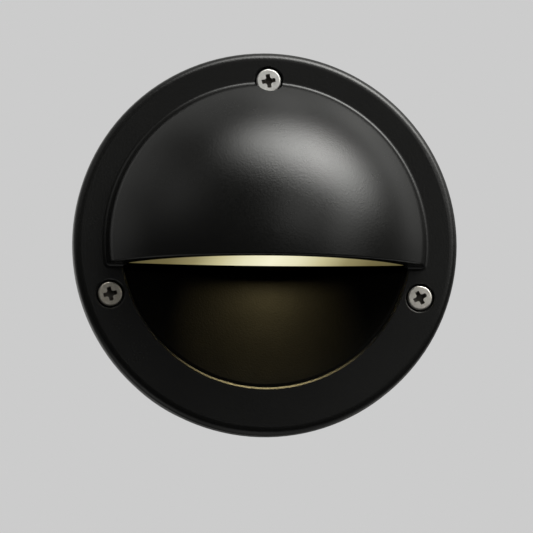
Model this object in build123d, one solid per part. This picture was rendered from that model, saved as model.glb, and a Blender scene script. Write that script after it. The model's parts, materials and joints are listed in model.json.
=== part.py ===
from build123d import *
import math
import os

# Round recessed step light with an eyelid hood, millimetres.
# X to the right, Z up, the front faces -Y.  The wall plane is y = 0 and the
# origin is on the axis of the round body where it enters the wall.

# ---------------------------------------------------------------- dimensions
FLANGE_R = 60.0          # faceplate outer radius
FACE_Y = -8.0            # front face of the faceplate flange
FLANGE_EDGE_R = 2.6      # rounding of the front outer edge
BORE_R = 45.0            # round opening of the faceplate
BORE_EDGE_R = 0.6
RECESS_R = 56.5          # pocket behind the faceplate for the body flange
RECESS_Y = -3.0
GROOVE_R0, GROOVE_R1, GROOVE_D = 57.3, 58.8, 1.5

HOOD = (49.6, 32.0, 9.0)         # eyelid outside: collar radius, height, corner
HOOD_H0 = 1.8                    # straight collar under the dome
CROWN_FLAT = 0.3                 # radius of the flat spot on the axis of the dome
CAVITY = (45.0, 29.6, 6.5)       # eyelid inside
LIP = (43.8, 28.4, 5.6)          # opening inside the ledge that carries the lens
HOOD_Z = -7.0                    # underside of the hood
LENS_Z0, LENS_Z1 = -6.4, -4.0
HOOD_RIM_R = 0.7
HOOD_BASE_R = 1.4

SCREW_PCR = 51.0                 # face screws: radius of their circle
SCREW_ANGLES = {"top": 89.1, "left": 198.6, "right": 341.0}
CBORE_R, CBORE_Y = 4.45, -4.6
SCREW_HOLE_R = 2.25
SCREW_HEAD_R, SCREW_HEAD_H, SCREW_EDGE_R = 3.85, 2.3, 0.55
SCREW_SHANK_R, SCREW_TIP_Y = 1.95, 8.0
WASHER_R0, WASHER_R1, WASHER_T = 2.05, 3.55, 0.8

BODY_R, BODY_WALL, BODY_BACK = 54.5, 2.0, 60.0
BODY_FLANGE_R, BODY_FLANGE_Y = 56.0, -2.2
BODY_FLOOR = 2.5
BOSS_R = 4.4

BOWL_RIM_R, BOWL_IN_R = 44.7, 43.9
BOWL_Y, BOWL_DEPTH, BOWL_T = -6.9, 15.0, 2.0
BAR_Z0 = -7.7                    # underside of the shelf under the rear of the lens
BAR_FRONT, BAR_R = -1.0, 180.0
BAR_X, BAR_BACK = 44.0, 9.5

POST_X, POST_W = 24.0, 8.0
POST_Y0, POST_Y1 = 5.3, 7.3
MOUNT_Z, SINK_Z = 26.0, 14.0     # heights of the two rows of rear screws
M3_R, M3_HOLE_R, M3_FREE_R = 1.45, 1.5, 1.7
M3_HEAD_R, M3_HEAD_H = 2.8, 2.1

PLATE_Y0, PLATE_Y1 = 36.0, 37.5  # chassis plate inside the body
PILLAR_X = 38.0
GLAND_Z = -28.0
FIX_PCR, FIX_R = 40.0, 2.25


# ------------------------------------------------------------------- helpers
def cyl_y(r, y0, y1, x=0.0, z=0.0):
    return Pos(x, (y0 + y1) / 2, z) * (Rot(90, 0, 0) * Cylinder(r, y1 - y0))


def cyl_z(r, z0, z1, x=0.0, y=0.0):
    return Pos(x, y, (z0 + z1) / 2) * Cylinder(r, z1 - z0)


def block(x0, x1, y0, y1, z0, z1):
    return Pos((x0 + x1) / 2, (y0 + y1) / 2, (z0 + z1) / 2) * Box(
        x1 - x0, y1 - y0, z1 - z0
    )


def turned(points):
    """Solid of revolution about Y from (radius, y) points."""
    return revolve(make_face(Polyline(*points, close=True)), Axis.Y)


def section(a, p, rc, y_back):
    """Half section of the hood: collar, corner arc and a flat spherical crown.

    a is the radius of the collar, p the height of the crown above the flange
    face and rc the radius of the corner.  It lies right of the Y axis.
    """
    s, h = FACE_Y - HOOD_H0, p - HOOD_H0
    c = a - rc
    big = (c**2 + h**2 - rc**2) / (2 * (h - rc))
    cy = s - h + big                       # centre of the crown arc
    t = math.atan2(c, cy - s)              # where the two arcs meet
    join = (big * math.sin(t), cy - big * math.cos(t))
    mid = (t + math.pi / 2) / 2
    tip = (CROWN_FLAT, cy - math.sqrt(big**2 - CROWN_FLAT**2))
    return [
        Line((0, tip[1]), tip),
        ThreePointArc(
            tip, (big * math.sin(t / 2), cy - big * math.cos(t / 2)), join
        ),
        ThreePointArc(
            join, (c + rc * math.sin(mid), s - rc * math.cos(mid)), (a, s)
        ),
        Line((a, s), (a, y_back)),
        Line((a, y_back), (0, y_back)),
        Line((0, y_back), (0, tip[1])),
    ]


def dome(size, y_back):
    """The hood's section turned about the Y axis."""
    return Rot(0, 90, 0) * revolve(make_face(section(*size, y_back)), Axis.Y)


def plan(size, y_back, z0, z1):
    """Slab with the outline of the hood seen from above."""
    half = make_face(section(*size, y_back))
    solid = extrude(half, z1 - z0)
    return Pos(0, 0, z0) * (solid + mirror(solid, Plane.YZ))


def at_angle(name, r=SCREW_PCR):
    t = math.radians(SCREW_ANGLES[name])
    return r * math.cos(t), r * math.sin(t)


def cross_recess(size, depth, y_face, x, z, turn):
    """Cross recess for a driver: four rounded arms that slope in to the bottom."""
    w = size * 0.29
    arms = Rectangle(size * 1.2, w) + Rectangle(w, size * 1.2)
    inner = [v for v in arms.vertices() if abs(v.X) < w and abs(v.Y) < w]
    arms = fillet(inner, w * 0.45)
    tool = mirror(extrude(arms, depth + 0.4), Plane.XY)
    tool = Rot(0, turn, 0) * (Rot(90, 0, 0) * tool)
    cone = turned([(0, -0.4), (size * 0.53, -0.4), (size * 0.34, depth), (0, depth)])
    return Pos(x, y_face, z) * ((Pos(0, -0.4, 0) * tool) & cone)


def pan_screw(
    head_r, head_h, shank_r, y_seat, y_tip, x, z, cross, depth, turn=0.0, edge=0.0
):
    """Pan head screw, head towards -Y, with a crossed recess."""
    head = cyl_y(head_r, y_seat - head_h, y_seat, x, z)
    rim = head.edges().filter_by(GeomType.CIRCLE).group_by(Axis.Y)[0]
    head = fillet(rim, edge or head_h * 0.42)
    shank = cyl_y(shank_r, y_seat, y_tip, x, z)
    tip = shank.edges().filter_by(GeomType.CIRCLE).group_by(Axis.Y)[-1]
    shank = chamfer(tip, shank_r * 0.3)
    slot = cross_recess(cross, depth, y_seat - head_h, x, z, turn)
    return (head - slot) + shank


def rear_screw(x, z, y_seat, y_tip, head_r=M3_HEAD_R, head_h=M3_HEAD_H, r=M3_R):
    """Pan head screw, head towards +Y."""
    head = cyl_y(head_r, y_seat, y_seat + head_h, x, z)
    rim = head.edges().filter_by(GeomType.CIRCLE).group_by(Axis.Y)[-1]
    head = fillet(rim, head_h * 0.4)
    y1 = y_seat + head_h
    slot = Box(2.9, 2.4, 0.75) + Box(0.75, 2.4, 2.9)
    return (head - Pos(x, y1, z) * slot) + cyl_y(r, y_tip, y_seat, x, z)


def wire(points, radii, r):
    path = FilletPolyline(*points, radius=radii)
    start = Plane(origin=path @ 0, z_dir=path % 0)
    return sweep(start * Circle(r), path=path)


parts = {}

# ----------------------------------------------------------------- faceplate
# One casting: flange, eyelid hood, lens ledge and two rear screw pillars.
k = FLANGE_EDGE_R
disc = cyl_y(FLANGE_R, FACE_Y, 0)
disc = fillet(disc.edges().filter_by(GeomType.CIRCLE).group_by(Axis.Y)[0], k)
disc = chamfer(disc.edges().filter_by(GeomType.CIRCLE).group_by(Axis.Y)[-1], 0.3)
hood = dome(HOOD, FACE_Y) & block(-70, 70, -50, FACE_Y, HOOD_Z, 70)
rim = [
    e
    for e in hood.edges()
    if abs(e.center().Z - HOOD_Z) < 0.01
    and e.bounding_box().max.Z - e.bounding_box().min.Z < 0.01
    and e.center().Y < FACE_Y - 0.05
]
hood = fillet(rim, HOOD_RIM_R)
plate = disc + hood
base = [
    e
    for e in plate.edges()
    if e.bounding_box().max.Y - e.bounding_box().min.Y < 0.01
    and abs(e.center().Y - FACE_Y) < 0.01
    and max(abs(e.bounding_box().max.X), abs(e.bounding_box().min.X)) < 51
]
plate = fillet(base, HOOD_BASE_R)
# round opening, eased at its front edge
plate -= cyl_y(BORE_R, -20, 1) & block(-70, 70, FACE_Y - 0.5, 2, -70, HOOD_Z)
ease = turned(
    [
        (0, FACE_Y - 0.5),
        (BORE_R + BORE_EDGE_R + 0.5, FACE_Y - 0.5),
        (BORE_R - 0.5, FACE_Y + BORE_EDGE_R + 0.5),
        (0, FACE_Y + BORE_EDGE_R + 0.5),
    ]
)
plate -= ease & block(-70, 70, -9, 2, -70, HOOD_Z - HOOD_BASE_R)
# hollow of the hood with the ledge that carries the lens
plate -= dome(CAVITY, 1) & block(-70, 70, -50, 2, LENS_Z0, 70)
plate -= dome(LIP, 1) & block(-70, 70, -50, 2, HOOD_Z - 0.5, LENS_Z0 + 0.3)
plate -= cyl_y(BORE_R, FACE_Y, 1) & block(-70, 70, -9, 2, HOOD_Z - 0.5, LENS_Z0 + 0.3)
# pocket and sealing groove at the back
plate -= cyl_y(RECESS_R, RECESS_Y, 1)
plate -= cyl_y(GROOVE_R1, -GROOVE_D, 1) - cyl_y(GROOVE_R0, -GROOVE_D - 1, 2)
# pillars inside the hood
for sx in (-1, 1):
    pillar = cyl_y(3.5, -28, POST_Y0, sx * POST_X, MOUNT_Z)
    pillar = pillar & dome((48.6, 31.0, 8.0), POST_Y0 + 1)
    plate += pillar
    plate -= cyl_y(M3_HOLE_R, -6, POST_Y0 + 1, sx * POST_X, MOUNT_Z)
# screw seats; the top one also scallops the hood
for name in SCREW_ANGLES:
    x, z = at_angle(name)
    plate -= cyl_y(CBORE_R, -45, CBORE_Y, x, z)
    plate -= cyl_y(SCREW_HOLE_R, CBORE_Y - 1, 1, x, z)
    flare = Pos(x, 0, z) * turned(
        [
            (0, FACE_Y - 0.1),
            (CBORE_R + 0.4, FACE_Y - 0.1),
            (CBORE_R - 0.1, FACE_Y + 0.4),
            (0, FACE_Y + 0.4),
        ]
    )
    if name == "top":
        flare = flare & block(-20, 20, -20, 0, HOOD[0] + HOOD_BASE_R + 0.3, 70)
    plate -= flare
parts["faceplate"] = plate

# ---------------------------------------------------------------- glare bowl
# Black dish behind the lower half of the opening, a shelf under the rear of
# the lens and two ears that carry it and the light module on the pillars of the hood.
rs = (BOWL_IN_R**2 + BOWL_DEPTH**2) / (2 * BOWL_DEPTH)
yc = BOWL_Y + BOWL_DEPTH - rs
ro = rs + BOWL_T
y_step = BOWL_Y + 2.9
r_step = math.sqrt(ro**2 - (y_step - yc) ** 2)


def on_sphere(radius, r):
    return (r, yc + math.sqrt(radius**2 - r**2))


dish_edges = [
    Line((BOWL_IN_R, BOWL_Y), (BOWL_RIM_R, BOWL_Y)),
    Line((BOWL_RIM_R, BOWL_Y), (BOWL_RIM_R, y_step)),
    Line((BOWL_RIM_R, y_step), (r_step, y_step)),
    ThreePointArc((r_step, y_step), on_sphere(ro, r_step * 0.5), (0, yc + ro)),
    Line((0, yc + ro), (0, yc + rs)),
    ThreePointArc((0, yc + rs), on_sphere(rs, BOWL_IN_R * 0.5), (BOWL_IN_R, BOWL_Y)),
]
dish = revolve(make_face(dish_edges), Axis.Y)
dish = dish & block(-60, 60, -20, 30, -60, LENS_Z0)
bar = block(-BAR_X, BAR_X, -20, BAR_BACK, BAR_Z0, LENS_Z0)
bar -= cyl_z(BAR_R, BAR_Z0 - 1, LENS_Z0 + 1, 0, BAR_FRONT - BAR_R)
bowl = dish + bar
for sx in (-1, 1):
    ear = block(
        sx * POST_X - POST_W / 2,
        sx * POST_X + POST_W / 2,
        POST_Y0,
        POST_Y1,
        LENS_Z0 - 2,
        MOUNT_Z,
    )
    ear += cyl_y(POST_W / 2, POST_Y0, POST_Y1, sx * POST_X, MOUNT_Z)
    bowl += ear
for sx in (-1, 1):
    for z in (MOUNT_Z, SINK_Z):
        bowl -= cyl_y(M3_FREE_R, POST_Y0 - 1, POST_Y1 + 1, sx * POST_X, z)
parts["glare_bowl"] = bowl

# ---------------------------------------------------------------- lens stack
lens = dome((44.65, 29.25, 6.2), 5.0)
lens = lens & block(-60, 60, -40, 5.0, LENS_Z0, LENS_Z1)
parts["lens"] = lens

SEAL_Z = -3.0
seal = plan((44.2, 28.8, 5.8), 4.8, LENS_Z1, SEAL_Z)
seal -= plan((42.6, 27.2, 5.0), 3.2, LENS_Z1 - 1, SEAL_Z + 1)
parts["lens_gasket"] = seal

BOARD_Z0, BOARD_Z1 = 6.0, 7.6
tray = plan((43.6, 28.0, 5.4), 4.6, SEAL_Z, BOARD_Z0)
tray -= plan((42.2, 26.6, 4.8), 3.2, SEAL_Z - 1, BOARD_Z0 + 1)
parts["reflector_tray"] = tray

SINK_Z0, SINK_Z1, SINK_TOP = 8.1, 11.1, 19.0
board = plan((42.4, 26.7, 4.9), 4.6, BOARD_Z0, BOARD_Z1)
for sx in (-1, 1):
    board -= cyl_z(M3_FREE_R, BOARD_Z0 - 1, BOARD_Z1 + 1, sx * 34, -12)
parts["led_board"] = board

LED, LED_Y = 3.2, -9.6
leds = []
for x in (-9.0, 0.0, 9.0):
    chip = block(x - LED / 2, x + LED / 2, LED_Y, LED_Y + LED, BOARD_Z0 - 0.8, BOARD_Z0)
    leds.append(chip)
parts["leds"] = Compound(children=leds)

parts["thermal_pad"] = block(-25, 25, -26, -4, BOARD_Z1, SINK_Z0)

sink = plan((41.0, 25.2, 4.8), 2.3, SINK_Z0, SINK_Z1)
sink += block(-34, 34, 2.3, POST_Y0, SINK_Z0, SINK_TOP)
for x in (-28, -14, 0, 14, 28):
    sink += block(x - 1, x + 1, -22, 2.4, SINK_Z0 + 1, SINK_TOP)
sink -= block(-8, -2, -4, 6, SINK_Z0 - 1, SINK_TOP + 1)
sink -= block(2, 8, -4, 6, SINK_Z0 - 1, SINK_TOP + 1)
for sx in (-1, 1):
    sink -= cyl_z(M3_HOLE_R, SINK_Z0 - 1, SINK_Z1 + 1, sx * 34, -12)
    sink -= cyl_y(M3_HOLE_R, 1, 6, sx * POST_X, SINK_Z)
parts["heat_sink"] = sink


def upright(x, y):
    head = cyl_z(M3_HEAD_R, BOARD_Z0 - 1.9, BOARD_Z0, x, y)
    rim_e = head.edges().filter_by(GeomType.CIRCLE).group_by(Axis.Z)[0]
    head = fillet(rim_e, 0.8)
    slot = Box(2.9, 0.75, 2.2) + Box(0.75, 2.9, 2.2)
    head -= Pos(x, y, BOARD_Z0 - 1.9) * slot
    return head + cyl_z(M3_R, BOARD_Z0, SINK_Z1 + 0.6, x, y)


parts["board_screws"] = Compound(children=[upright(-34, -12), upright(34, -12)])
parts["heat_sink_screws"] = Compound(
    children=[rear_screw(sx * POST_X, SINK_Z, POST_Y1, -0.7) for sx in (-1, 1)]
)
parts["bowl_screws"] = Compound(
    children=[rear_screw(sx * POST_X, MOUNT_Z, POST_Y1, -2.7) for sx in (-1, 1)]
)

# ---------------------------------------------------------------- wall body
can = cyl_y(BODY_R, BODY_FLANGE_Y, BODY_BACK)
can = fillet(can.edges().filter_by(GeomType.CIRCLE).group_by(Axis.Y)[-1], 2.0)
can += cyl_y(BODY_FLANGE_R, BODY_FLANGE_Y, 0)
can -= cyl_y(BODY_R - BODY_WALL, BODY_FLANGE_Y - 1, BODY_BACK - BODY_FLOOR)
INSERT_R, INSERT_Y1 = 2.6, 6.8
for name in SCREW_ANGLES:
    x, z = at_angle(name)
    boss = cyl_y(BOSS_R, BODY_FLANGE_Y, 16, x, z) & cyl_y(BODY_R - 0.5, -5, 20)
    can += boss
for name in SCREW_ANGLES:
    x, z = at_angle(name)
    can -= cyl_y(INSERT_R, BODY_FLANGE_Y - 1, INSERT_Y1, x, z) & cyl_y(
        60, BODY_FLANGE_Y - 1, INSERT_Y1
    )
    can -= cyl_y(2.1, INSERT_Y1 - 1, 14, x, z)
for sx in (-1, 1):
    can += cyl_y(4.0, PLATE_Y1, BODY_BACK - BODY_FLOOR + 0.5, sx * PILLAR_X, 0)
for sx in (-1, 1):
    can -= cyl_y(M3_HOLE_R, PLATE_Y1 - 1, PLATE_Y1 + 12, sx * PILLAR_X, 0)
for deg in (90, 210, 330):
    t = math.radians(deg)
    can -= cyl_y(FIX_R, 50, 70, FIX_PCR * math.cos(t), FIX_PCR * math.sin(t))
GLAND_HOLE_R, GLAND_THREAD_R = 8.1, 8.0
can -= cyl_y(GLAND_HOLE_R, 50, 70, 0, GLAND_Z)
parts["housing"] = can

inserts = []
for name in SCREW_ANGLES:
    x, z = at_angle(name)
    tube = cyl_y(INSERT_R - 0.0, BODY_FLANGE_Y, INSERT_Y1, x, z)
    tube -= cyl_y(2.0, BODY_FLANGE_Y - 1, INSERT_Y1 + 1, x, z)
    inserts.append(tube)
parts["threaded_inserts"] = Compound(children=inserts)

gasket = cyl_y(BODY_FLANGE_R - 0.1, RECESS_Y, BODY_FLANGE_Y)
gasket -= cyl_y(BODY_R - BODY_WALL + 0.3, -10, 10)
for name in SCREW_ANGLES:
    x, z = at_angle(name)
    gasket += cyl_y(BOSS_R, RECESS_Y, BODY_FLANGE_Y, x, z) & cyl_y(BODY_FLANGE_R - 0.5, -5, 5)
for name in SCREW_ANGLES:
    x, z = at_angle(name)
    gasket -= cyl_y(2.4, -10, 10, x, z)
parts["face_gasket"] = gasket

ring = cyl_y(GROOVE_R1 - 0.05, -GROOVE_D, 0) - cyl_y(GROOVE_R0 + 0.05, -5, 5)
parts["wall_gasket"] = ring

# ------------------------------------------------------------- inside the can
chassis = block(-43, 43, PLATE_Y0, PLATE_Y1, -13, 13)
chassis += block(-30, 30, PLATE_Y0, PLATE_Y1, -32, 34)
for sx in (-1, 1):
    chassis -= cyl_y(M3_FREE_R, 30, 40, sx * PILLAR_X, 0)
    chassis -= cyl_y(M3_HOLE_R, 30, 40, sx * 24, 18)
chassis -= cyl_y(M3_HOLE_R, 30, 40, 0, -18)
chassis -= cyl_y(7.0, 30, 40, 0, -31)
parts["chassis_plate"] = chassis


def front_screw(x, z, y_seat, y_tip):
    return pan_screw(M3_HEAD_R, M3_HEAD_H, M3_R, y_seat, y_tip, x, z, 2.9, 1.2)


parts["chassis_screws"] = Compound(
    children=[front_screw(sx * PILLAR_X, 0, PLATE_Y0, 45) for sx in (-1, 1)]
)

driver = block(-19, 19, 17, PLATE_Y0, 4, 32)
driver = fillet(driver.edges().filter_by(Axis.Y), 2.0)
driver += block(-28, 28, PLATE_Y0 - 3, PLATE_Y0, 13, 23)
for sx in (-1, 1):
    driver -= cyl_y(M3_FREE_R, 30, 40, sx * 24, 18)
parts["driver_module"] = driver
parts["driver_screws"] = Compound(
    children=[front_screw(sx * 24, 18, PLATE_Y0 - 3, 40) for sx in (-1, 1)]
)

block_body = block(-12, 12, 23, PLATE_Y0, -26, -10)
block_body -= cyl_y(3.2, 20, 33, 0, -18)
block_body -= cyl_y(M3_FREE_R, 20, 40, 0, -18)
for x in (-8, 8):
    for z in (-13.5, -22.5):
        block_body -= cyl_y(1.9, 20, 28.4, x, z)
    block_body -= cyl_z(1.5, -27, -9, x, 30.5)
parts["terminal_block"] = block_body
clamps = []
for x in (-8, 8):
    for z in (-13.5, -22.5):
        c = cyl_y(1.8, 24.2, 28.3, x, z)
        c -= Pos(x, 24.2, z) * Box(3.2, 1.2, 0.6)
        clamps.append(c)
parts["terminal_screws"] = Compound(children=clamps)
parts["block_screw"] = front_screw(0, -18, 33, 40)

# leads, each one whole from end to end
WIRE_R = 0.8
parts["led_lead_positive"] = wire(
    [(5, -2, BOARD_Z1), (5, -2, 13), (5, 7, 22), (9, 12.5, 24.5), (9, 17, 24.5)],
    [2.8, 3.2, 2.2],
    WIRE_R,
)
parts["led_lead_negative"] = wire(
    [(-5, -2, BOARD_Z1), (-5, -2, 13), (-5, 7, 22), (-9, 12.5, 24.5), (-9, 17, 24.5)],
    [2.8, 3.2, 2.2],
    WIRE_R,
)
parts["supply_lead_positive"] = wire(
    [(6, 25, 4), (6, 25, 0), (8, 30.5, -4), (8, 30.5, -13)],
    [2.2, 2.6],
    WIRE_R,
)
parts["supply_lead_negative"] = wire(
    [(-6, 25, 4), (-6, 25, 0), (-8, 30.5, -4), (-8, 30.5, -13)],
    [2.2, 2.6],
    WIRE_R,
)

# ---------------------------------------------------------------- cable gland
floor_y = BODY_BACK - BODY_FLOOR
gx, gz = 0.0, GLAND_Z


def hexagon(af, y0, y1):
    h = Rot(90, 0, 0) * extrude(RegularPolygon(af / 2, 6, major_radius=False), y1 - y0)
    return Pos(gx, y1, gz) * h


body = cyl_y(GLAND_THREAD_R, floor_y - 7, BODY_BACK + 1.2, gx, gz)
body += hexagon(20, BODY_BACK + 1.2, BODY_BACK + 6.2)
body += cyl_y(7.4, BODY_BACK + 6.2, BODY_BACK + 14, gx, gz)
body -= cyl_y(4.8, floor_y - 8, BODY_BACK + 8, gx, gz)
body -= cyl_y(6.1, BODY_BACK + 6, BODY_BACK + 20, gx, gz)
parts["gland_body"] = body
parts["gland_o_ring"] = cyl_y(9.6, BODY_BACK, BODY_BACK + 1.2, gx, gz) - cyl_y(
    8.05, BODY_BACK - 1, BODY_BACK + 3, gx, gz
)
nut = hexagon(21, floor_y - 4, floor_y) - cyl_y(8.05, floor_y - 5, floor_y + 1, gx, gz)
parts["gland_locknut"] = nut
SEAL_BORE_R = 3.9
parts["gland_seal"] = cyl_y(6.05, BODY_BACK + 6, BODY_BACK + 14.5, gx, gz) - cyl_y(
    SEAL_BORE_R, BODY_BACK + 5, BODY_BACK + 16, gx, gz
)
cap = hexagon(18.5, BODY_BACK + 6.8, BODY_BACK + 12)
cap += cyl_y(9.25, BODY_BACK + 12, BODY_BACK + 17, gx, gz)
cap = fillet(cap.edges().filter_by(GeomType.CIRCLE).group_by(Axis.Y)[-1], 2.0)
cap -= cyl_y(7.45, BODY_BACK + 6, BODY_BACK + 14.5, gx, gz)
cap -= cyl_y(4.6, BODY_BACK + 10, BODY_BACK + 20, gx, gz)
parts["gland_cap_nut"] = cap

# ---------------------------------------------------------------- face screws
TURNS = {"top": -9.0, "left": -13.0, "right": -27.0}
for name in SCREW_ANGLES:
    x, z = at_angle(name)
    seat = CBORE_Y - WASHER_T
    parts["face_screw_" + name] = pan_screw(
        SCREW_HEAD_R, SCREW_HEAD_H, SCREW_SHANK_R, seat, SCREW_TIP_Y, x, z, 4.5, 2.0,
        TURNS[name], SCREW_EDGE_R,
    )
    parts["screw_washer_" + name] = cyl_y(WASHER_R1, seat, CBORE_Y, x, z) - cyl_y(
        WASHER_R0, seat - 1, CBORE_Y + 1, x, z
    )

# -------------------------------------------------------------------- output
os.makedirs("parts", exist_ok=True)
for name, shape in parts.items():
    export_step(shape, "parts/" + name + ".step")
    solids = shape.solids()
    print(name, len(solids), round(sum(s.volume for s in solids), 1))
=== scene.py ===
import json
import math

import bpy
from mathutils import Matrix, Vector

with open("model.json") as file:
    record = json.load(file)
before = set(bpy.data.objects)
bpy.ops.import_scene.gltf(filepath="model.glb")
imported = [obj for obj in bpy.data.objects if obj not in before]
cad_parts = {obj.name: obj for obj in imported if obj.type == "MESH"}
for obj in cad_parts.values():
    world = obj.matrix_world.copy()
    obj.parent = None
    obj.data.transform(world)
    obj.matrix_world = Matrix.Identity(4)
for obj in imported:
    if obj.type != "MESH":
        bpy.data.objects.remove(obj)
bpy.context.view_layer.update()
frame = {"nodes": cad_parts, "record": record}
nodes = frame["nodes"]
scene = bpy.context.scene
MM = 0.001


# ------------------------------------------------------------- node helpers
def material(name):
    m = bpy.data.materials.new(name)
    m.use_nodes = True
    nt = m.node_tree
    nt.nodes.clear()
    out = nt.nodes.new("ShaderNodeOutputMaterial")
    bsdf = nt.nodes.new("ShaderNodeBsdfPrincipled")
    nt.links.new(bsdf.outputs[0], out.inputs[0])
    return m, nt, bsdf


def node(nt, kind, **props):
    n = nt.nodes.new(kind)
    for key, value in props.items():
        setattr(n, key, value)
    return n


def coords(nt, scale=1.0):
    """Object coordinates in millimetres times scale."""
    tc = node(nt, "ShaderNodeTexCoord")
    mp = node(nt, "ShaderNodeMapping")
    s = scale if hasattr(scale, "__len__") else (scale,) * 3
    mp.inputs["Scale"].default_value = [1000.0 * v for v in s]
    nt.links.new(tc.outputs["Object"], mp.inputs["Vector"])
    return mp.outputs["Vector"]


def noise(nt, vec, scale, detail=2.0, rough=0.5, kind="FBM"):
    n = node(nt, "ShaderNodeTexNoise", noise_dimensions="3D")
    n.inputs["Scale"].default_value = scale
    n.inputs["Detail"].default_value = detail
    n.inputs["Roughness"].default_value = rough
    nt.links.new(vec, n.inputs["Vector"])
    return n.outputs["Fac"]


def ranged(nt, value, a, b, lo=0.0, hi=1.0):
    n = node(nt, "ShaderNodeMapRange", clamp=True)
    n.inputs["From Min"].default_value = lo
    n.inputs["From Max"].default_value = hi
    n.inputs["To Min"].default_value = a
    n.inputs["To Max"].default_value = b
    nt.links.new(value, n.inputs["Value"])
    return n.outputs["Result"]


def math_node(nt, op, a, b=None):
    n = node(nt, "ShaderNodeMath", operation=op)
    for i, v in enumerate((a, b)):
        if v is None:
            continue
        if isinstance(v, (int, float)):
            n.inputs[i].default_value = v
        else:
            nt.links.new(v, n.inputs[i])
    return n.outputs[0]


def ramp(nt, value, stops):
    n = node(nt, "ShaderNodeValToRGB")
    cr = n.color_ramp
    while len(cr.elements) < len(stops):
        cr.elements.new(0.5)
    for e, (pos, col) in zip(cr.elements, stops):
        e.position = pos
        e.color = (*col, 1.0)
    nt.links.new(value, n.inputs["Fac"])
    return n.outputs["Color"]


def bump(nt, bsdf, height, strength, distance_mm):
    n = node(nt, "ShaderNodeBump")
    n.inputs["Strength"].default_value = strength
    n.inputs["Distance"].default_value = distance_mm * MM
    nt.links.new(height, n.inputs["Height"])
    nt.links.new(n.outputs["Normal"], bsdf.inputs["Normal"])
    return n


def paint(names, mat):
    for n in [names] if isinstance(names, str) else names:
        o = nodes[n]
        o.data.materials.clear()
        o.data.materials.append(mat)


# ---------------------------------------------------------------- materials
def cove_normal(nt, v):
    """True normal of the cove round the foot of the hood, which the mesh only comes near to.

    The cove is a quarter round of 1.4 mm between the collar (r 49.6) and the flange face.
    """
    sep = node(nt, "ShaderNodeSeparateXYZ")
    nt.links.new(v, sep.inputs[0])
    x, y, z = sep.outputs
    r = math_node(nt, "SQRT", math_node(nt, "ADD", math_node(nt, "MULTIPLY", x, x), math_node(nt, "MULTIPLY", z, z)))
    k = ranged(nt, r, 1.0, 0.0, 49.6, 51.0)
    kr = math_node(nt, "DIVIDE", k, r)
    n_y = math_node(nt, "SQRT", math_node(nt, "SUBTRACT", 1.0, math_node(nt, "MULTIPLY", k, k)))
    exact = node(nt, "ShaderNodeCombineXYZ")
    nt.links.new(math_node(nt, "MULTIPLY", x, kr), exact.inputs["X"])
    nt.links.new(math_node(nt, "MULTIPLY", n_y, -1.0), exact.inputs["Y"])
    nt.links.new(math_node(nt, "MULTIPLY", z, kr), exact.inputs["Z"])
    # only on the cove, and clear of the seat of the top screw and of the hood's lower corners
    dx = math_node(nt, "SUBTRACT", x, 0.8)
    dz = math_node(nt, "SUBTRACT", z, 51.0)
    away = math_node(nt, "SQRT", math_node(nt, "ADD", math_node(nt, "MULTIPLY", dx, dx), math_node(nt, "MULTIPLY", dz, dz)))
    mask = ranged(nt, r, 0.0, 1.0, 49.6, 49.68)
    for part in (
        ranged(nt, r, 1.0, 0.0, 51.0, 51.04),
        ranged(nt, y, 0.0, 1.0, -9.4, -9.3),
        ranged(nt, y, 1.0, 0.0, -7.99, -7.95),
        ranged(nt, z, 0.0, 1.0, -4.5, -2.5),
        ranged(nt, away, 0.0, 1.0, 6.0, 6.6),
    ):
        mask = math_node(nt, "MULTIPLY", mask, part)
    own = node(nt, "ShaderNodeNewGeometry")
    blend = node(nt, "ShaderNodeMix", data_type="VECTOR")
    nt.links.new(mask, blend.inputs["Factor"])
    nt.links.new(own.outputs["Normal"], blend.inputs[4])
    nt.links.new(exact.outputs[0], blend.inputs[5])
    unit = node(nt, "ShaderNodeVectorMath", operation="NORMALIZE")
    nt.links.new(blend.outputs[1], unit.inputs[0])
    return unit.outputs["Vector"]


def powder_coat(name, base, rough, bump_mm, grain):
    """Fine textured black powder coat."""
    m, nt, b = material(name)
    v = coords(nt)
    fine = noise(nt, v, grain, 3.0, 0.55)
    orange = noise(nt, v, grain * 0.23, 2.0, 0.5)
    cloud = noise(nt, v, 0.045, 3.0, 0.6)
    height = math_node(nt, "ADD", fine, math_node(nt, "MULTIPLY", orange, 0.15))
    relief = bump(nt, b, height, 1.0, bump_mm)
    nt.links.new(cove_normal(nt, v), relief.inputs["Normal"])
    lo = tuple(c * 0.82 for c in base)
    hi = tuple(c * 1.22 for c in base)
    nt.links.new(ramp(nt, fine, [(0.3, lo), (0.7, hi)]), b.inputs["Base Color"])
    r = math_node(
        nt,
        "ADD",
        ranged(nt, cloud, rough - 0.025, rough + 0.025, 0.3, 0.7),
        ranged(nt, fine, -0.03, 0.03, 0.3, 0.7),
    )
    nt.links.new(r, b.inputs["Roughness"])
    b.inputs["Specular IOR Level"].default_value = 0.5
    return m


coat = powder_coat("powder_coat_black", (0.0078, 0.0078, 0.0075), 0.234, 0.043, 1.75)


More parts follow.
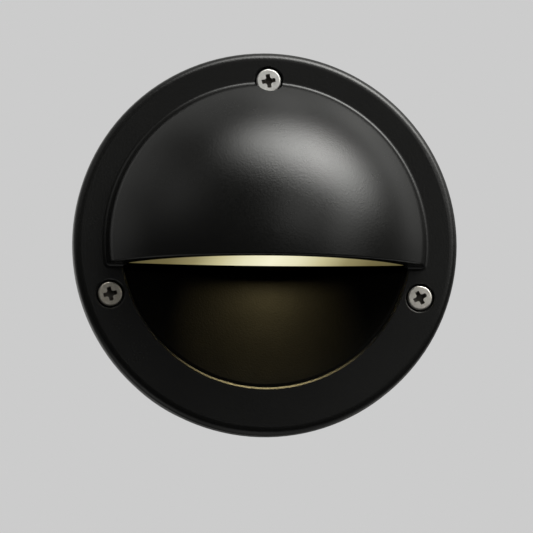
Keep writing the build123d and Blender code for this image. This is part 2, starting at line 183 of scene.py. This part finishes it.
def bowl_paint():
    """Dead black satin paint of the bowl, bare of grain on the shelf under the lens."""
    m, nt, b = material("satin_black_bowl")
    v = coords(nt)
    fine = noise(nt, v, 1.7, 2.0, 0.55)
    cloud = noise(nt, v, 0.05, 3.0, 0.6)
    sep = node(nt, "ShaderNodeSeparateXYZ")
    nt.links.new(v, sep.inputs[0])
    low = ranged(nt, sep.outputs["Z"], 1.0, 0.01, -9.2, -8.2)
    shade = ramp(nt, fine, [(0.3, (0.003, 0.0028, 0.0023)), (0.7, (0.005, 0.0047, 0.0039))])
    mixed = node(nt, "ShaderNodeMix", data_type="RGBA", blend_type="MULTIPLY")
    mixed.inputs["Factor"].default_value = 1.0
    nt.links.new(shade, mixed.inputs["A"])
    nt.links.new(low, mixed.inputs["B"])
    nt.links.new(mixed.outputs["Result"], b.inputs["Base Color"])
    r = math_node(nt, "ADD", ranged(nt, cloud, 0.47, 0.55, 0.3, 0.7), ranged(nt, fine, -0.02, 0.02, 0.3, 0.7))
    nt.links.new(r, b.inputs["Roughness"])
    nt.links.new(ranged(nt, sep.outputs["Z"], 0.05, 0.0, -9.2, -8.2), b.inputs["Specular IOR Level"])
    bump(nt, b, fine, 1.0, 0.09)
    return m


bowl_coat = bowl_paint()


def lens_material():
    """Frosted opal plate, brightest near its middle where the light sources are."""
    m, nt, b = material("frosted_opal_lens")
    v = coords(nt)
    sep = node(nt, "ShaderNodeSeparateXYZ")
    nt.links.new(v, sep.inputs[0])
    x = math_node(nt, "ABSOLUTE", math_node(nt, "SUBTRACT", sep.outputs["X"], 1.2))
    glow = ramp(
        nt,
        ranged(nt, x, 0.0, 1.0, 0.0, 42.0),
        [
            (0.0, (0.92, 0.88, 0.64)),
            (0.2, (0.78, 0.745, 0.5)),
            (0.38, (0.55, 0.505, 0.28)),
            (0.56, (0.28, 0.245, 0.115)),
            (0.75, (0.155, 0.13, 0.052)),
            (1.0, (0.1, 0.085, 0.032)),
        ],
    )
    grain = ranged(nt, noise(nt, v, 0.9, 3.0, 0.6), 0.97, 1.03, 0.3, 0.7)
    mixed = node(nt, "ShaderNodeMix", data_type="RGBA", blend_type="MULTIPLY")
    mixed.inputs["Factor"].default_value = 1.0
    nt.links.new(glow, mixed.inputs["A"])
    nt.links.new(grain, mixed.inputs["B"])
    nt.links.new(mixed.outputs["Result"], b.inputs["Emission Color"])
    b.inputs["Emission Strength"].default_value = 1.0
    b.inputs["Base Color"].default_value = (0.2, 0.18, 0.13, 1.0)
    b.inputs["Roughness"].default_value = 0.38
    bump(nt, b, noise(nt, v, 2.4, 2.0, 0.5), 0.5, 0.02)
    return m


opal = lens_material()


def simple(name, base, rough, metallic=0.0, grain=1.0, var=0.12, bump_mm=0.01, spec=0.5):
    """Base with small procedural variation of colour, gloss and relief."""
    m, nt, b = material(name)
    v = coords(nt)
    fine = noise(nt, v, grain, 4.0, 0.6)
    wide = noise(nt, v, grain * 0.12, 2.0, 0.5)
    lo = tuple(max(0.0, c * (1 - var)) for c in base)
    hi = tuple(min(1.0, c * (1 + var)) for c in base)
    mixv = math_node(nt, "ADD", math_node(nt, "MULTIPLY", fine, 0.5), math_node(nt, "MULTIPLY", wide, 0.5))
    nt.links.new(ramp(nt, mixv, [(0.35, lo), (0.65, hi)]), b.inputs["Base Color"])
    nt.links.new(ranged(nt, mixv, rough - 0.03, rough + 0.03, 0.35, 0.65), b.inputs["Roughness"])
    b.inputs["Metallic"].default_value = metallic
    b.inputs["Specular IOR Level"].default_value = spec
    bump(nt, b, fine, 1.0, bump_mm)
    return m


def screw_steel(name, x0, z0, tone_lo, tone_hi, gloss):
    """Turned stainless head around (x0, z0) mm, grimy and dark down in its recess."""
    m, nt, b = material(name)
    v = coords(nt)
    sep = node(nt, "ShaderNodeSeparateXYZ")
    nt.links.new(v, sep.inputs[0])
    dx = math_node(nt, "SUBTRACT", sep.outputs["X"], x0)
    dz = math_node(nt, "SUBTRACT", sep.outputs["Z"], z0)
    r = math_node(
        nt, "SQRT", math_node(nt, "ADD", math_node(nt, "MULTIPLY", dx, dx), math_node(nt, "MULTIPLY", dz, dz))
    )
    ang = math_node(nt, "ARCTAN2", dz, dx)
    polar = node(nt, "ShaderNodeCombineXYZ")
    nt.links.new(math_node(nt, "MULTIPLY", r, 9.0), polar.inputs["X"])
    nt.links.new(math_node(nt, "MULTIPLY", ang, 1.3), polar.inputs["Y"])
    nt.links.new(math_node(nt, "MULTIPLY", sep.outputs["Y"], 2.0), polar.inputs["Z"])
    rings = noise(nt, polar.outputs[0], 1.0, 3.0, 0.6)
    blotch = noise(nt, v, 1.1, 3.0, 0.6)
    deep = ranged(nt, sep.outputs["Y"], 0.0, 1.0, SCREW_FACE_Y + 0.12, SCREW_FACE_Y + 0.75)
    inner = ranged(nt, r, 1.0, 0.0, 2.75, 3.0)
    dirt = math_node(nt, "MULTIPLY", deep, inner)
    tone = math_node(nt, "ADD", math_node(nt, "MULTIPLY", rings, 0.35), math_node(nt, "MULTIPLY", blotch, 0.65))
    metal = ramp(nt, tone, [(0.32, tone_lo), (0.68, tone_hi)])
    mixed = node(nt, "ShaderNodeMix", data_type="RGBA", blend_type="MIX")
    nt.links.new(dirt, mixed.inputs["Factor"])
    nt.links.new(metal, mixed.inputs["A"])
    mixed.inputs["B"].default_value = (0.19, 0.178, 0.16, 1.0)
    nt.links.new(mixed.outputs["Result"], b.inputs["Base Color"])
    b.inputs["Metallic"].default_value = 1.0
    rough = math_node(nt, "ADD", ranged(nt, tone, gloss - 0.05, gloss + 0.05, 0.3, 0.7), math_node(nt, "MULTIPLY", dirt, 0.3))
    nt.links.new(rough, b.inputs["Roughness"])
    bump(nt, b, rings, 1.0, 0.0016)
    return m


SCREW_FACE_Y = -7.7
SCREW_ANGLES = {"top": 89.1, "left": 198.6, "right": 341.0}
SCREW_TONES = {
    "top": ((0.78, 0.77, 0.74), (0.95, 0.94, 0.91), 0.5),
    "left": ((0.64, 0.59, 0.5), (0.86, 0.81, 0.72), 0.4),
    "right": ((0.74, 0.7, 0.64), (0.95, 0.92, 0.85), 0.44),
}
screw_mats = {
    n: screw_steel(
        "stainless_" + n,
        51.0 * math.cos(math.radians(d)),
        51.0 * math.sin(math.radians(d)),
        *SCREW_TONES[n],
    )
    for n, d in SCREW_ANGLES.items()
}
zinc = simple("zinc_plate", (0.6, 0.6, 0.58), 0.35, 1.0, 3.0, 0.1, 0.004)
nylon = simple("glass_filled_nylon", (0.022, 0.022, 0.023), 0.47, 0.0, 1.2, 0.08, 0.02)
gland_nylon = simple("gland_nylon", (0.02, 0.02, 0.021), 0.42, 0.0, 1.0, 0.2, 0.008)
rubber = simple("sealing_rubber", (0.018, 0.018, 0.018), 0.7, 0.0, 2.0, 0.2, 0.01, 0.3)
silicone = simple("grey_silicone", (0.32, 0.32, 0.31), 0.55, 0.0, 2.0, 0.08, 0.008, 0.4)
white_plastic = simple("white_moulding", (0.82, 0.81, 0.78), 0.45, 0.0, 1.0, 0.03, 0.006)
board_mat = simple("white_solder_mask", (0.8, 0.81, 0.79), 0.3, 0.0, 3.0, 0.03, 0.002)
phosphor = simple("led_phosphor", (0.95, 0.62, 0.08), 0.4, 0.0, 5.0, 0.06, 0.004)
pad_mat = simple("gap_filler", (0.2, 0.33, 0.42), 0.65, 0.0, 2.0, 0.1, 0.02, 0.3)
cast_alu = simple("cast_aluminium", (0.62, 0.63, 0.64), 0.42, 1.0, 1.5, 0.1, 0.012)
brass = simple("turned_brass", (0.72, 0.52, 0.22), 0.3, 1.0, 5.0, 0.1, 0.004)
driver_case = simple("driver_case", (0.035, 0.035, 0.038), 0.5, 0.0, 1.5, 0.15, 0.01)
terminal_pl = simple("terminal_polyamide", (0.78, 0.77, 0.72), 0.42, 0.0, 1.5, 0.04, 0.006)
red_pvc = simple("red_insulation", (0.5, 0.02, 0.012), 0.38, 0.0, 2.0, 0.1, 0.004)
black_pvc = simple("black_insulation", (0.018, 0.018, 0.018), 0.38, 0.0, 2.0, 0.15, 0.004)

by_slot = {
    "powder_coat": coat,
    "bowl_coat": bowl_coat,
    "opal_lens": opal,
    "silicone": silicone,
    "white_moulding": white_plastic,
    "circuit_board": board_mat,
    "led_phosphor": phosphor,
    "thermal_pad": pad_mat,
    "bare_aluminium": cast_alu,
    "zinc_steel": zinc,
    "body_nylon": nylon,
    "gland_nylon": gland_nylon,
    "insert_brass": brass,
    "sealing_rubber": rubber,
    "driver_case": driver_case,
    "terminal_plastic": terminal_pl,
    "red_lead": red_pvc,
    "black_lead": black_pvc,
}
for part in frame["record"]["subparts"]:
    if part["node"].startswith("face_screw_"):
        paint(part["node"], screw_mats[part["node"].split("_")[-1]])
    elif part["node"] in nodes:
        paint(part["node"], by_slot[part["material_slot"]])

# even out the shading of long thin faces beside the flats
for name in ("faceplate", "glare_bowl", "housing", "lens"):
    mod = nodes[name].modifiers.new("even_normals", "WEIGHTED_NORMAL")
    mod.mode = "FACE_AREA_WITH_ANGLE"
    mod.weight = 50
    mod.keep_sharp = True

# -------------------------------------------------------------------- stage
bpy.ops.mesh.primitive_circle_add(vertices=96, radius=0.75, fill_type="NGON", location=(0, 0, -1.6))
floor = bpy.context.object
floor.name = "floor"
fm, fnt, fb = material("floor_paper")
fb.inputs["Base Color"].default_value = (0.36, 0.36, 0.36, 1)
fb.inputs["Roughness"].default_value = 0.9
floor.data.materials.append(fm)
floor.visible_glossy = floor.visible_diffuse = floor.visible_shadow = False   # the dome lights from below too

world = bpy.data.worlds.new("studio")
scene.world = world
world.use_nodes = True
wn = world.node_tree
wn.nodes.clear()
w_out = wn.nodes.new("ShaderNodeOutputWorld")
w_mix = wn.nodes.new("ShaderNodeMixShader")
w_ray = wn.nodes.new("ShaderNodeLightPath")
w_fill = wn.nodes.new("ShaderNodeBackground")
w_back = wn.nodes.new("ShaderNodeBackground")
w_back.inputs["Color"].default_value = (0.6038, 0.6038, 0.6038, 1)
w_back.inputs["Strength"].default_value = 1.0
w_fill.inputs["Color"].default_value = (0.8, 0.8, 0.775, 1)
wn.links.new(w_ray.outputs["Is Camera Ray"], w_mix.inputs["Fac"])
wn.links.new(w_fill.outputs[0], w_mix.inputs[1])
wn.links.new(w_back.outputs[0], w_mix.inputs[2])
wn.links.new(w_mix.outputs[0], w_out.inputs["Surface"])

# soft lights as smooth spots on the studio's dome
KEY = (46.0, 53.8, -44.0, 28.8, 16.0, 13.6)   # azimuth, elevation, turn, half widths, strength
SPOTS = [
    # name, azimuth, elevation, width (degrees), strength
    ("key_edge", 56, 22, 8, 1.1),
    ("top_left", -19, 67, 9, 1.16),
    ("right_low", 48, 10, 10, 0.95),
    ("front", 20, 18, 9, 0.84),
    ("left", -62, 30, 12, 0.42),
    ("rim_right", 108, 34, 9, 1.0),
    ("rim_right_low", 105, 14, 9, 0.55),
    ("rim_right_high", 123, 50, 9, 1.08),
    ("rim_top", 139, 75, 9, 1.0),
    ("rim_top_left", -104, 69, 9, 0.41),
    ("rim_left", -94, 37, 9, 0.33),
    ("rim_left_low", -93, 11, 9, 0.27),
    ("rim_left_under", -95, -50, 14, 0.6),
    ("rim_right_under", 134, -32, 11, 0.9),
    ("right_under", 101, -58, 12, 0.35),
    ("under", 0, -80, 11, 0.5),
    ("under_back", 180, -70, 12, 0.3),
    ("back_left", -140, 15, 20, 0.9),
    ("back_right", 140, 10, 20, 0.31),
    ("back_top", -170, 45, 20, 0.6),
]
DOME = 0.0215                                # even light from all round


def toward(az, el):
    ra, re = math.radians(az), math.radians(el)
    return Vector((math.sin(ra) * math.cos(re), -math.cos(ra) * math.cos(re), math.sin(re)))


def w_math(op, a, b=None, c=None):
    n = wn.nodes.new("ShaderNodeMath")
    n.operation = op
    for i, v in enumerate((a, b, c)):
        if v is None:
            continue
        if isinstance(v, (int, float)):
            n.inputs[i].default_value = v
        else:
            wn.links.new(v, n.inputs[i])
    return n.outputs[0]


w_dir = wn.nodes.new("ShaderNodeTexCoord").outputs["Generated"]


def w_dot(v):
    n = wn.nodes.new("ShaderNodeVectorMath")
    n.operation = "DOT_PRODUCT"
    wn.links.new(w_dir, n.inputs[0])
    n.inputs[1].default_value = v
    return n.outputs["Value"]


def key_spot(az, el, turn, wide, high, strength):
    """One large soft box: a smooth oval spot, wide by high, turned about its middle."""
    c = toward(az, el)
    u = Vector((0, 0, 1)).cross(c).normalized()
    v = c.cross(u)
    t = math.radians(turn)
    u, v = u * math.cos(t) + v * math.sin(t), v * math.cos(t) - u * math.sin(t)
    d = w_dot(c)
    front = w_math("MAXIMUM", d, 0.05)
    p = w_math("DIVIDE", w_math("DIVIDE", w_dot(u), front), math.tan(math.radians(wide)))
    q = w_math("DIVIDE", w_math("DIVIDE", w_dot(v), front), math.tan(math.radians(high)))
    r2 = w_math("ADD", w_math("MULTIPLY", p, p), w_math("MULTIPLY", q, q))
    glow = w_math("MULTIPLY", w_math("EXPONENT", w_math("MULTIPLY", r2, -1.0)), strength)
    return w_math("MULTIPLY", glow, w_math("GREATER_THAN", d, 0.05))


def round_spot(az, el, width, strength):
    k = 1.0 / math.radians(width) ** 2
    return w_math(
        "MULTIPLY", w_math("EXPONENT", w_math("MULTIPLY_ADD", w_dot(toward(az, el)), k, -k)), strength
    )


spot_outputs = {"key": key_spot(*KEY)}
for name, az, el, width, strength in SPOTS:
    spot_outputs[name] = round_spot(az, el, width, strength)
total = None
for out in spot_outputs.values():
    total = out if total is None else w_math("ADD", total, out)
wn.links.new(w_math("ADD", total, DOME), w_fill.inputs["Strength"])

# light of the sources inside the hood, which falls through the lens onto the bowl
lamp_data = bpy.data.lights.new("lamp", "AREA")
lamp_data.shape = "ELLIPSE"
lamp_data.size, lamp_data.size_y = 0.006, 0.008
lamp_data.spread = math.radians(128)
lamp_data.energy = 0.0072
lamp_data.color = (1.0, 0.82, 0.4)
lamp = bpy.data.objects.new("lamp", lamp_data)
lamp.location = (0.0013, -0.008, -0.0022)
lamp.rotation_euler = (math.radians(53), 0, 0)
lamp.visible_camera = False
scene.collection.objects.link(lamp)
for o in [nodes["lens"]]:
    o.visible_shadow = False
    o.visible_diffuse = False
    o.visible_glossy = False

# ------------------------------------------------------------------- camera
CAM_AZ, CAM_EL, CAM_ROLL = -4.35, -6.19, 0.12
CAM_D, CAM_F = 1.5, 4799.0           # metres, focal length in photograph pixels
CAM_T = Vector((0.82, 0.0, -6.46)) * MM
cam_data = bpy.data.cameras.new("camera")
cam = bpy.data.objects.new("camera", cam_data)
scene.collection.objects.link(cam)
a, e = math.radians(CAM_AZ), math.radians(CAM_EL)
back_dir = Vector((math.sin(a) * math.cos(e), -math.cos(a) * math.cos(e), math.sin(e)))
cam.location = CAM_T + back_dir * CAM_D
cam.rotation_mode = "QUATERNION"
q = back_dir.to_track_quat("Z", "Y")
cam.rotation_quaternion = q @ Matrix.Rotation(math.radians(CAM_ROLL), 4, "Z").to_quaternion()
cam_data.sensor_width = 36.0
cam_data.lens = CAM_F * 36.0 / 533.0
cam_data.clip_start, cam_data.clip_end = 0.01, 50.0
scene.camera = cam

scene.view_settings.view_transform = "Standard"
scene.view_settings.look = "None"
scene.view_settings.exposure = 0.0
scene.view_settings.gamma = 1.0
